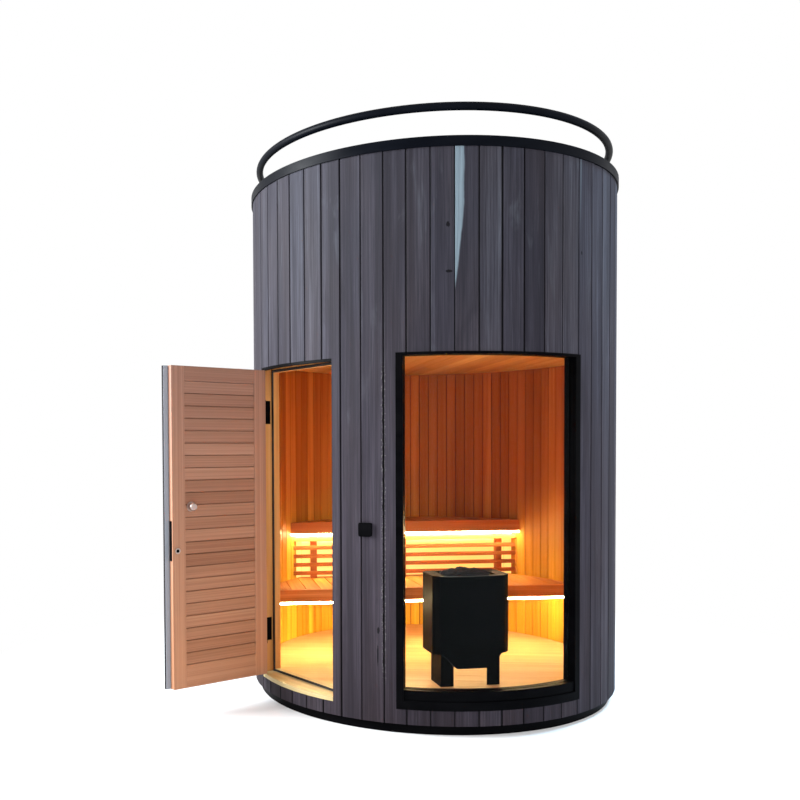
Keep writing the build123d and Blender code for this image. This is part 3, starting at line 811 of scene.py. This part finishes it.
def metal_materials():
    """The metals: black steel outside, black fittings, the heater's enamel, the painted highlight on its
    edge, bare metal.
    """
    return {
        "steel": metal_material("black_steel", srgb(3, 5, 11), 0.42, specular=0.05),
        "hardware": metal_material("black_hardware", srgb(2, 2, 3), 0.4, specular=0.02),
        "enamel": metal_material("heater_enamel", srgb(2, 2, 3), 0.4, specular=0.015),
        # Painted highlight for the heater's top edge
        "painted_highlight": metal_material("painted_rim_highlight", srgb(96, 92, 86), 0.35, 0.8, specular=0.5),
        "satin": metal_material("satin_metal", srgb(190, 174, 168), 0.34, 1.0, 0.3, 0.5),
    }


# Boards of the drum

def joint_bearings():
    """Bearings of the joints between outer boards, right round from the front."""
    left = []
    bearing = BOARD_START
    while bearing - LEFT_PITCH > -BACK:
        bearing -= LEFT_PITCH
        left.append(bearing)
    right = [BOARD_START]
    while right[-1] + RIGHT_PITCH < BACK:
        right.append(right[-1] + RIGHT_PITCH)
    return sorted(left) + right


def board_outline(start, end, gap, depth, inset):
    """Plan of one outer board: bevelled face, open joint, and a tongue that meets the next board."""
    middle = (start + end) / 2
    half = radians((end - start) / 2)
    reach = RADIUS * cos(half)
    width = RADIUS * sin(half)
    back = reach - depth
    tongue = reach - TONGUE_DEPTH
    tongue_width = width * tongue / reach
    face_width = width - gap
    right = [
        (width * back / reach, back),
        (tongue_width, tongue),
        (tongue_width - gap, tongue),
        (face_width, reach - BOARD_BEVEL - inset),
        (face_width - BOARD_BEVEL, reach - inset),
    ]
    left = [(-x, y) for x, y in reversed(right)]
    return [across(middle) * x + direction(middle) * y for x, y in right + left]


def beside_window(outline, keep_right):
    """The part of a board to one side of the window, cut along a radius."""
    normal = across(WINDOW_RIGHT if keep_right else WINDOW_LEFT)
    return clip(outline, AXIS, -normal if keep_right else normal)


def beside_door(outline, keep_right):
    """The part of a board to one side of the doorway, whose sides are parallel."""
    normal = across(DOOR_BEARING)
    if keep_right:
        return clip(outline, normal * DOOR_HALF, -normal)
    return clip(outline, -normal * DOOR_HALF, normal)


def board_parts(outline, start, end):
    """A board less the doorway and the window, as outlines with their heights."""
    for first, last, bottom, top, beside in (
        (DOOR_LEFT, DOOR_RIGHT, SILL_LOW, DOOR_TOP, beside_door),
        (WINDOW_LEFT, WINDOW_RIGHT, WINDOW_BOTTOM, WINDOW_TOP, beside_window),
    ):
        if end <= first or start >= last:
            continue
        parts = [(outline, BASE_TOP, bottom), (outline, top, WALL_TOP)]
        if start < first:
            parts.append((beside(outline, False), bottom, top))
        if end > last:
            parts.append((beside(outline, True), bottom, top))
        return parts
    return [(outline, BASE_TOP, WALL_TOP)]


def outer_boards(material):
    """The weathered boards right round the drum."""
    boards = Boards()
    joints = joint_bearings()
    for start, end in zip(joints, joints[1:] + [joints[0] + 360]):
        tint, seed = board_look()
        gap = rng.choice(JOINT_GAPS)
        inset = rng.uniform(0.0, DEEPEST_INSET)
        outline = board_outline(start, end, gap, BOARD_THICKNESS, inset)
        middle = (start + end) / 2
        face = direction(middle) * RADIUS
        for part, low, high in board_parts(outline, start, end):
            boards.prism(part, low, high, face, across(middle), tint, seed)
    names = [n for n in NODES if n.startswith("cladding_")]
    boards.piece("outer_boards", material, "weathered_cladding", nodes=sorted(names))


def ring_boards(name, material, slot, pitch, thickness, heights):
    """Upright boards on the inside of the wall. A function gives each board's heights."""
    boards = Boards()
    half = radians(pitch / 2)
    face = LINING_RADIUS - thickness
    back = LINING_RADIUS - LINING_SEAT
    bevel = face + LINING_BEVEL
    for i in range(round(360 / pitch)):
        width = face * sin(half) - rng.uniform(*LINING_GAPS)
        flat = width - LINING_BEVEL
        middle = -BACK + LINING_START + (i + 0.5) * pitch
        side = across(middle)
        out = direction(middle)
        right = [(width, back), (width, bevel), (flat, face)]
        left = [(-x, y) for x, y in reversed(right)]
        outline = [side * x + out * y for x, y in right + left]
        boards.prism(outline, *heights(middle), out * face, side, *board_look())
    boards.piece(name, material, slot)


def parapet_heights(middle):
    """Lowest and highest point of a board inside the parapet, the same all round."""
    return ROOF_TOP + PARAPET_FOOT, WALL_TOP - END_GAP


def lining_heights(middle):
    """Lowest and highest point of a lining board, which starts above the doorway or the window."""
    high = CEILING_LOW - END_GAP
    margin = LINING_PITCH / 2
    door = degrees(asin((DOOR_HALF + JAMB_BOARD) / LINING_RADIUS)) + margin
    if abs(middle - DOOR_BEARING) < door:
        return DOOR_TOP + JAMB_BOARD, high
    if WINDOW_LEFT - margin < middle < WINDOW_RIGHT + margin:
        return WINDOW_TOP, high
    return FLOOR_TOP + END_GAP, high


def head_shade_strip(material):
    """Black strip under the boards over the doorway, bent to the drum: painted shade where the head lies in
    shadow.
    """
    strip = Boards()
    low = LEAF_TOP + SHADE_STRIP_LEAF_GAP
    high = DOOR_TOP - SHADE_STRIP_TOP_GAP
    limit = degrees(asin((DOOR_HALF - END_GAP) / SHADE_STRIP_OUTER))
    for i in range(SHADE_STRIP_STEPS):
        start = direction(DOOR_BEARING - limit + 2 * limit * i / SHADE_STRIP_STEPS)
        end = direction(DOOR_BEARING - limit + 2 * limit * (i + 1) / SHADE_STRIP_STEPS)
        outer = [start * SHADE_STRIP_OUTER, end * SHADE_STRIP_OUTER]
        inner = [end * SHADE_STRIP_INNER, start * SHADE_STRIP_INNER]
        strip.prism(outer + inner, low, high, AXIS, across(DOOR_BEARING))
    strip.piece("head_shade_strip", material, "black_hardware")


# Roof, floor and ceiling

def strip_boards(width, radius, bearing, gap):
    """Outlines of parallel boards that fill a circle, and the vector that they run along."""
    side = across(bearing)
    out = direction(bearing)
    count = ceil(2 * radius / width)
    for i in range(count):
        near = -count * width / 2 + i * width + gap
        far = near + width - 2 * gap
        corners = ((radius, near), (radius, far), (-radius, far), (-radius, near))
        yield clip_round([side * x + out * y for x, y in corners], radius), side


def roof_sheets(material):
    """Membrane sheets on the roof deck. Every second one is laid over its neighbours."""
    sheets = Boards()
    low = ROOF_TOP + ROOF_LIFT
    strips = strip_boards(ROOF_SHEET, LINING_RADIUS - ROOF_MARGIN, 90.0, -ROOF_LAP)
    for i, (outline, side) in enumerate(strips):
        thickness = LOWER_SHEET if i % 2 else UPPER_SHEET
        sheets.prism(outline, low, low + thickness, AXIS, side, along=side)
    sheets.piece("roof_sheets", material, "roof_membrane")


def floor_boards(material):
    """Pale floor boards, kept clear of the threshold in the doorway."""
    boards = Boards()
    low = FLOOR_TOP - FLOOR_THICKNESS
    threshold = direction(DOOR_BEARING)
    for outline, side in strip_boards(FLOOR_BOARD, FLOOR_RADIUS, FLOOR_BEARING, FLOOR_GAP):
        outline = clip(outline, threshold * THRESHOLD_REACH, threshold)
        boards.prism(outline, low, FLOOR_TOP, AXIS, side, *board_look(), along=side)
    boards.tints = [FLOOR_PALENESS + (1 - FLOOR_PALENESS) * t for t in boards.tints]
    boards.piece("floor_boards", material, "pale_boards", bevel=0.001, nodes=("floor_deck",))


def ceiling_boards(material):
    """Boards of the ceiling, laid square to the benches."""
    boards = Boards()
    low = CEILING_LOW
    high = low + CEILING_THICKNESS
    bearing = 90.0 + BENCH_BEARING
    for outline, side in strip_boards(CEILING_BOARD, CEILING_RADIUS, bearing, CEILING_GAP):
        boards.prism(outline, low, high, AXIS, side, *board_look(), along=side)
    boards.piece("ceiling_boards", material, "cedar_trim", bevel=0.0015, nodes=("ceiling",))


# Door leaf

def door_frame():
    """From the leaf's own frame, drawn shut and facing -Y, to where it stands open."""
    pin = frame["joints"][0]["pos_m"]
    place = Matrix.Translation((pin[0], pin[1], 0))
    swing = place @ Matrix.Rotation(radians(-LEAF_OPEN), 4, "Z") @ place.inverted()
    return swing @ Matrix.Rotation(radians(DOOR_BEARING), 4, "Z")


def swung(outline):
    """Swing a flat outline, drawn where the leaf is shut, to where the leaf stands open."""
    return turned(outline, door_frame() @ Matrix.Rotation(radians(-DOOR_BEARING), 4, "Z"))


def leaf_boards(material):
    """Outer boards on the leaf, in line with the drum's when it is shut."""
    boards = Boards()
    side = across(DOOR_BEARING)
    out = direction(DOOR_BEARING)
    joints = joint_bearings()
    for start, end in zip(joints, joints[1:]):
        if end < DOOR_LEFT or start > DOOR_RIGHT:
            continue
        outline = board_outline(start, end, LEAF_JOINT_GAP, LEAF_BOARD_DEPTH, 0.0)
        outline = clip(outline, side * LATCH_EDGE, side)
        outline = clip(outline, side * HINGE_EDGE, -side)
        outline = clip(outline, out * (LEAF_FACE + LEAF_CORE), -out)
        middle = (start + end) / 2
        centre = direction(middle) * RADIUS
        face, beyond = swung([centre, centre + across(middle)])
        boards.prism(swung(outline), LEAF_BOTTOM, LEAF_TOP, face, beyond - face, *board_look())
    boards.piece("leaf_outer_boards", material, "weathered_cladding", "door", nodes=("leaf_cladding",))


def leaf_joinery(material):
    """Stiles, rails and level slats of the leaf, each its own board."""
    turn = door_frame()
    left = HINGE_EDGE
    right = LATCH_EDGE - LEAF_LIP
    inner_left = left + STILE_WIDTH
    inner_right = right - STILE_WIDTH
    low = LEAF_BOTTOM + BOTTOM_RAIL
    high = LEAF_TOP - TOP_RAIL
    back = -(LEAF_FACE + LEAF_CORE)
    face = -LEAF_FACE
    boards = Boards()
    for x0, x1 in ((left, inner_left), (inner_right, right)):
        boards.box(turn, (x0, back, LEAF_BOTTOM), (x1, face, LEAF_TOP), *board_look(0.5, 0.9))
    for z0, z1 in ((LEAF_BOTTOM, low), (high, LEAF_TOP)):
        lowest = (inner_left, back, z0)
        highest = (inner_right, face, z1)
        boards.box(turn, lowest, highest, *board_look(0.4, 0.8), upright=False)
    boards.piece("leaf_stiles_rails", material, "door_timber", "door", 0.0015, ("leaf_frame",))
    slats = Boards()
    pitch = (high - low) / SLAT_COUNT
    for i in range(SLAT_COUNT):
        lowest = (inner_left, back, low + i * pitch + SLAT_GAP)
        highest = (inner_right, face - SLAT_INSET, low + i * pitch + pitch - SLAT_GAP)
        slats.box(turn, lowest, highest, *board_look(), upright=False)
    core = face - SLAT_DEPTH
    slats.box(turn, (inner_left, back, low), (inner_right, core, high), 0.1, 3.0, upright=False)
    slats.piece("leaf_slats", material, "door_timber", "door", 0.0018, ("leaf_panel",))


def hinge_edge_plate(material):
    """Small dark plate on the leaf's hinge edge."""
    plate = Boards()
    lowest = (HINGE_EDGE - PLATE_THICKNESS, -PLATE_OUTER, PLATE_BOTTOM)
    highest = (HINGE_EDGE, -PLATE_INNER, PLATE_TOP)
    plate.box(door_frame(), lowest, highest)
    plate.piece("hinge_edge_plate", material, "black_hardware", "door")


def key_escutcheon(metal, dark):
    """Round key plate with its slot, on the lock at the leaf's inner face. The slot is a black block,
    painted shade for the keyhole.
    """
    turn = door_frame()
    middle = LATCH_EDGE - LEAF_LIP - KEY_SETBACK
    face = -LEAF_FACE + KEY_SEAT
    ring = Boards()
    for i in range(KEY_SIDES):
        a = 2 * pi * i / KEY_SIDES
        b = 2 * pi * (i + 1) / KEY_SIDES
        corners = ((KEY_INNER, a), (KEY_OUTER, a), (KEY_OUTER, b), (KEY_INNER, b))
        outline = [(middle + r * cos(t), KEY_HEIGHT + r * sin(t)) for r, t in corners]
        ring.plate(turn, outline, face, face + KEY_THICKNESS)
    ring.piece("key_escutcheon", metal, "satin_metal", "door", 0.0004)
    # The keyhole's shade, painted as a black block
    slot = Boards()
    lowest = (middle - SLOT_HALF_WIDTH, face, KEY_HEIGHT - SLOT_HALF_HEIGHT)
    highest = (middle + SLOT_HALF_WIDTH, face + SLOT_THICKNESS, KEY_HEIGHT + SLOT_HALF_HEIGHT)
    slot.box(turn, lowest, highest)
    slot.piece("key_slot", dark, "black_hardware", "door")


# Benches and heater

def seat_boards(node, front, top, material):
    """Boards of one seat, laid from the front edge back to the wall."""
    boards = Boards()
    side = across(BENCH_BEARING)
    back = -direction(BENCH_BEARING)
    radius = LINING_RADIUS - LINING_THICKNESS - SEAT_END
    count = ceil(radius / SEAT_BOARD)
    first = front + FASCIA + SEAT_END
    for i in range(-count, count):
        x0 = i * SEAT_BOARD + SEAT_GAP
        x1 = (i + 1) * SEAT_BOARD - SEAT_GAP
        outline = [side * x + back * y for x, y in ((x0, first), (x1, first), (x1, radius), (x0, radius))]
        outline = clip_round(outline, radius)
        boards.prism(outline, top - SEAT_THICKNESS, top, AXIS, side, *board_look(), along=back)
    boards.piece(node + "_boards", material, "bench_timber", bevel=0.002, nodes=(node,))


def painted_slat_glow(material):
    """Glowing sheet behind the posts under the upper seat, which shines out between the slats: painted light
    for the space lit by the strip.
    """
    turn = Matrix.Rotation(radians(BENCH_BEARING), 4, "Z")
    near = UPPER_SEAT_FRONT + FRONT_SLAT_BACK + FRONT_SLAT_THICKNESS + POST_DEPTH + PANEL_GAP
    low = LOWER_SEAT_TOP + PANEL_FOOT
    high = UPPER_SEAT_TOP - PANEL_HEAD
    panel = Boards()
    panel.box(turn, (-PANEL_HALF, near, low), (PANEL_HALF, near + PANEL_SHEET, high), upright=False)
    for side in (-1, 1):
        depths = (near - PANEL_RETURN, near - PANEL_RETURN / 2, near)
        wall = [Vector((side * (PANEL_REACH ** 2 - y ** 2) ** 0.5, y)) for y in depths]
        inner = [p - Vector((side * PANEL_SHEET, 0)) for p in reversed(wall)]
        outline = turned((wall + inner)[::side], turn)
        panel.prism(outline, low, high, AXIS, Vector((1, 0)))
    panel.piece("painted_slat_glow", material, "light_diffuser")


def heater_rim(material):
    """Painted highlight: a bright strip along the bowed front of the heater's top."""
    turn = Matrix.Rotation(radians(HEATER_BEARING), 4, "Z")
    outer = []
    inner = []
    for i in range(RIM_STEPS + 1):
        share = 2 * i / RIM_STEPS - 1
        bow = Vector((HEATER_HALF_BOW * share, HEATER_BULGE * share ** 2 - HEATER_FRONT))
        outer.append(bow - Vector((0, RIM_PROUD)))
        inner.append(bow + Vector((0, RIM_WIDTH)))
    rim = Boards()
    for i in range(RIM_STEPS):
        quad = turned((outer[i], outer[i + 1], inner[i + 1], inner[i]), turn)
        rim.prism(quad, HEATER_TOP - RIM_DEPTH, HEATER_TOP + RIM_LIFT, AXIS, Vector((1, 0)))
    rim.piece("heater_rim", material, "heater_enamel")


def stone_place(order, size):
    """Place of a stone in the heap, which fills from its floor to its crest."""
    x = rng.uniform(-1, 1) * (TRAY_WIDTH / 2 - size - TRAY_GAP)
    y = rng.uniform(-1, 1) * (TRAY_DEPTH / 2 - size - TRAY_GAP)
    share = 1 - (abs(x) / (TRAY_WIDTH / 2)) ** 2
    rise = STONE_TOP - STONE_HEADROOM - TRAY_FLOOR - 2 * size
    crest = TRAY_FLOOR + size + rise * share * (1 - (y / STONE_FALL) ** 2)
    lowest = TRAY_FLOOR + size * 0.8
    return Matrix.Translation((x, STONE_MIDDLE + y, lowest + (crest - lowest) * (order / STONE_COUNT)))


def stone_shape():
    """Random turn and squash of one stone."""
    angle = rng.uniform(0, 6.3)
    axis = Vector((rng.random(), rng.random(), rng.random() + 0.1))
    squash = Matrix.Diagonal((1.15, rng.uniform(0.75, 1.0), rng.uniform(0.55, 0.8), 1))
    return squash @ Matrix.Rotation(angle, 4, axis)


def stones(material):
    """A heap of rough stones in the heater's tray."""
    mesh = bpy.data.meshes.new("stones")
    heap = bmesh.new()
    turn = Matrix.Rotation(radians(HEATER_BEARING), 4, "Z")
    for i in range(STONE_COUNT):
        size = rng.uniform(SMALLEST_STONE, LARGEST_STONE)
        place = turn @ stone_place(i, size) @ stone_shape() @ Matrix.Scale(size, 4)
        made = bmesh.ops.create_icosphere(heap, subdivisions=2, radius=1.0)
        for v in made["verts"]:
            v.co = place @ (v.co * (1 + rng.uniform(-0.12, 0.10)))
    heap.to_mesh(mesh)
    heap.free()
    mesh.materials.append(material)
    piece = add_object("stones", mesh)
    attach(piece, "cabin")
    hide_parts("heater_stones")


# The object

def make_boards(timber, weathered):
    """All boards and stones, in one order, because each draws random numbers."""
    outer_boards(weathered)
    leaf_boards(weathered)
    leaf_joinery(timber["door"])
    ring_boards("lining_boards", timber["lining"], "wall_lining",
                LINING_PITCH, LINING_THICKNESS, lining_heights)
    ring_boards("parapet_boards", weathered, "weathered_cladding",
                PARAPET_PITCH, PARAPET_THICKNESS, parapet_heights)
    floor_boards(timber["pale"])
    ceiling_boards(timber["cedar"])
    seat_boards("upper_seat", UPPER_SEAT_FRONT, UPPER_SEAT_TOP, timber["bench"])
    seat_boards("lower_seat", LOWER_SEAT_FRONT, LOWER_SEAT_TOP, timber["bench"])
    stones(stone_material())


def make_fittings(metal, membrane):
    """The glowing sheet behind the slats, which is painted light, the fittings with the heater's painted
    highlight, and the roof sheets.
    """
    painted_slat_glow(painted_glow_material())
    head_shade_strip(metal["hardware"])
    heater_rim(metal["painted_highlight"])
    hinge_edge_plate(metal["hardware"])
    key_escutcheon(metal["satin"], metal["hardware"])
    roof_sheets(membrane)


def dress(material, slot, *names, bevel=0.0):
    """Give CAD nodes their material, and soften their edges."""
    for name in names:
        node = NODES[name]
        node.data.materials.clear()
        node.data.materials.append(material)
        if bevel:
            soften(node, bevel)


def dress_timber(timber):
    """Materials of the timber nodes that are shown as they are."""
    walls = [n for n in NODES if n.startswith("wall_")]
    dress(timber["core"], "wall_lining", *walls)
    dress(timber["upright"], "cedar_trim", "door_jamb_hinge", "door_jamb_latch", "door_head", bevel=0.0015)
    dress(timber["sill"], "pale_boards", "door_sill", bevel=0.0015)
    dress(timber["upright"], "pale_boards", "floor_joists")
    dress(timber["level"], "bench_timber", "upper_fascia", "lower_fascia", "bench_front_slats", bevel=0.0015)
    dress(timber["post"], "bench_timber", "bench_posts", bevel=0.0015)


def dress_metal(metal):
    """Materials of the metal nodes."""
    dress(metal["steel"], "black_steel", "rim_cap", bevel=0.002)
    dress(metal["steel"], "black_steel", "handrail", "rail_posts")
    dress(metal["hardware"], "black_steel", "base_ring", bevel=0.002)
    dress(metal["hardware"], "black_steel", "window_frame", bevel=0.001)
    dress(metal["hardware"], "black_hardware", "jamb_hinges", "leaf_hinges", "door_lock")
    dress(metal["hardware"], "black_hardware", "control_box", bevel=0.001)
    dress(metal["satin"], "satin_metal", "door_knob")
    dress(metal["enamel"], "heater_enamel", "heater_body", bevel=0.0012)
    dress(metal["enamel"], "heater_enamel", "heater_legs")


# Scene round the object

def camera():
    """The photograph's viewpoint, 1.5 m above ground and 5.7 m in front of the axis."""
    turn = Matrix.Rotation(radians(-CAMERA_YAW), 4, "Z")
    turn @= Matrix.Rotation(radians(90 + CAMERA_PITCH), 4, "X")
    turn @= Matrix.Rotation(radians(CAMERA_ROLL), 4, "Z")
    data = bpy.data.cameras.new("camera")
    data.sensor_width = CAMERA_SENSOR
    data.lens = CAMERA_LENS
    data.shift_x, data.shift_y = CAMERA_SHIFT
    data.clip_end = 100
    view = add_object("camera", data)
    view.matrix_world = Matrix.Translation(CAMERA_PLACE) @ turn
    bpy.context.scene.camera = view


def world():
    """White to the camera, and a soft cool light on the object."""
    made = bpy.data.worlds.new("studio")
    made.use_nodes = True
    nodes = Nodes(made.node_tree)
    light = nodes.add("ShaderNodeBackground", {"Color": WORLD_COLOUR, "Strength": WORLD_LIGHT})
    white = nodes.add("ShaderNodeBackground", {"Color": (1, 1, 1)})
    shaders = {0: nodes.seen_directly(), 1: light.outputs[0], 2: white.outputs[0]}
    mix = nodes.add("ShaderNodeMixShader", shaders)
    nodes.add("ShaderNodeOutputWorld", {0: mix.outputs[0]})
    bpy.context.scene.world = made


def floor_material():
    """Pale near the object, where shadows fall, and fading to white further out."""
    look = Shader("stage_floor")
    place = look.position()
    grit = look.noise(place, 4.0, 2.0)
    pale = look.ramp(grit, [(0.0, (0.86, 0.86, 0.86)), (1.0, (0.9, 0.9, 0.9))])
    look.set(colour=pale, rough=0.9, specular=0.1)
    far = look.add("ShaderNodeVectorMath", {0: place}, operation="LENGTH").outputs["Value"]
    fade = look.span(far, FADE_START, FADE_END, 0.25, 1.0, "SMOOTHSTEP")
    white = look.add("ShaderNodeEmission", {"Color": (1, 1, 1)}).outputs[0]
    share = look.times(fade, look.seen_directly())
    mix = look.add("ShaderNodeMixShader", {0: share, 1: look.bsdf.outputs[0], 2: white})
    look.feed(look.out.inputs[0], mix.outputs[0])
    return look.material


def floor():
    """A flat stage under the object."""
    mesh = bpy.data.meshes.new("stage_floor")
    corners = [(x * STAGE_HALF, y * STAGE_HALF, 0) for x, y in ((-1, -1), (1, -1), (1, 1), (-1, 1))]
    mesh.from_pydata(corners, [], [(0, 1, 2, 3)])
    mesh.materials.append(floor_material())
    plane = add_object("stage_floor", mesh)
    plane.location.z = -STAGE_DROP


def lamp(name, place, target, size, power, colour, mirrored=True):
    """A soft rectangular lamp aimed at a point. A lamp that isn't mirrored shows in no reflection."""
    data = bpy.data.lights.new(name, "AREA")
    data.shape = "RECTANGLE"
    data.size, data.size_y = size
    data.energy = power
    data.color = colour
    light = add_object(name, data)
    light.location = place
    light.rotation_euler = (Vector(target) - Vector(place)).to_track_quat("-Z", "Y").to_euler()
    light.visible_glossy = mirrored


def lights():
    """Broad key from the left, soft front, blue edge from the back right, and back light."""
    lamp("key", (-6.5, -2.2, 3.6), (0, 0, 1.8), (3.0, 4.0), 1300, (0.92, 0.96, 1.0))
    lamp("front", (3.4, -6.6, 3.0), (-0.6, 0, 1.4), (3.0, 3.0), 290, (1.0, 0.97, 0.96), mirrored=False)
    lamp("edge", (4.6, 2.6, 6.0), (0, 0, 2.6), (2.0, 2.0), 1250, (0.52, 0.78, 1.0), mirrored=False)
    lamp("back", (-1.5, 6.5, 4.5), (0, 0, 1.6), (4.0, 4.0), 380, (0.95, 0.97, 1.0), mirrored=False)


def main():
    timber = timber_materials()
    metal = metal_materials()
    membrane = membrane_material()
    make_boards(timber, weathered_material())
    make_fittings(metal, membrane)
    dress_timber(timber)
    dress_metal(metal)
    dress(glass_material(), "clear_glass", "window_glass")
    dress(seal_material(), "black_seal", "door_gasket")
    dress(glow_material(), "light_diffuser", "light_strips")
    dress(membrane, "roof_membrane", "roof_deck")

    camera()
    world()
    floor()
    lights()
    bpy.context.scene.view_settings.view_transform = "Standard"


main()
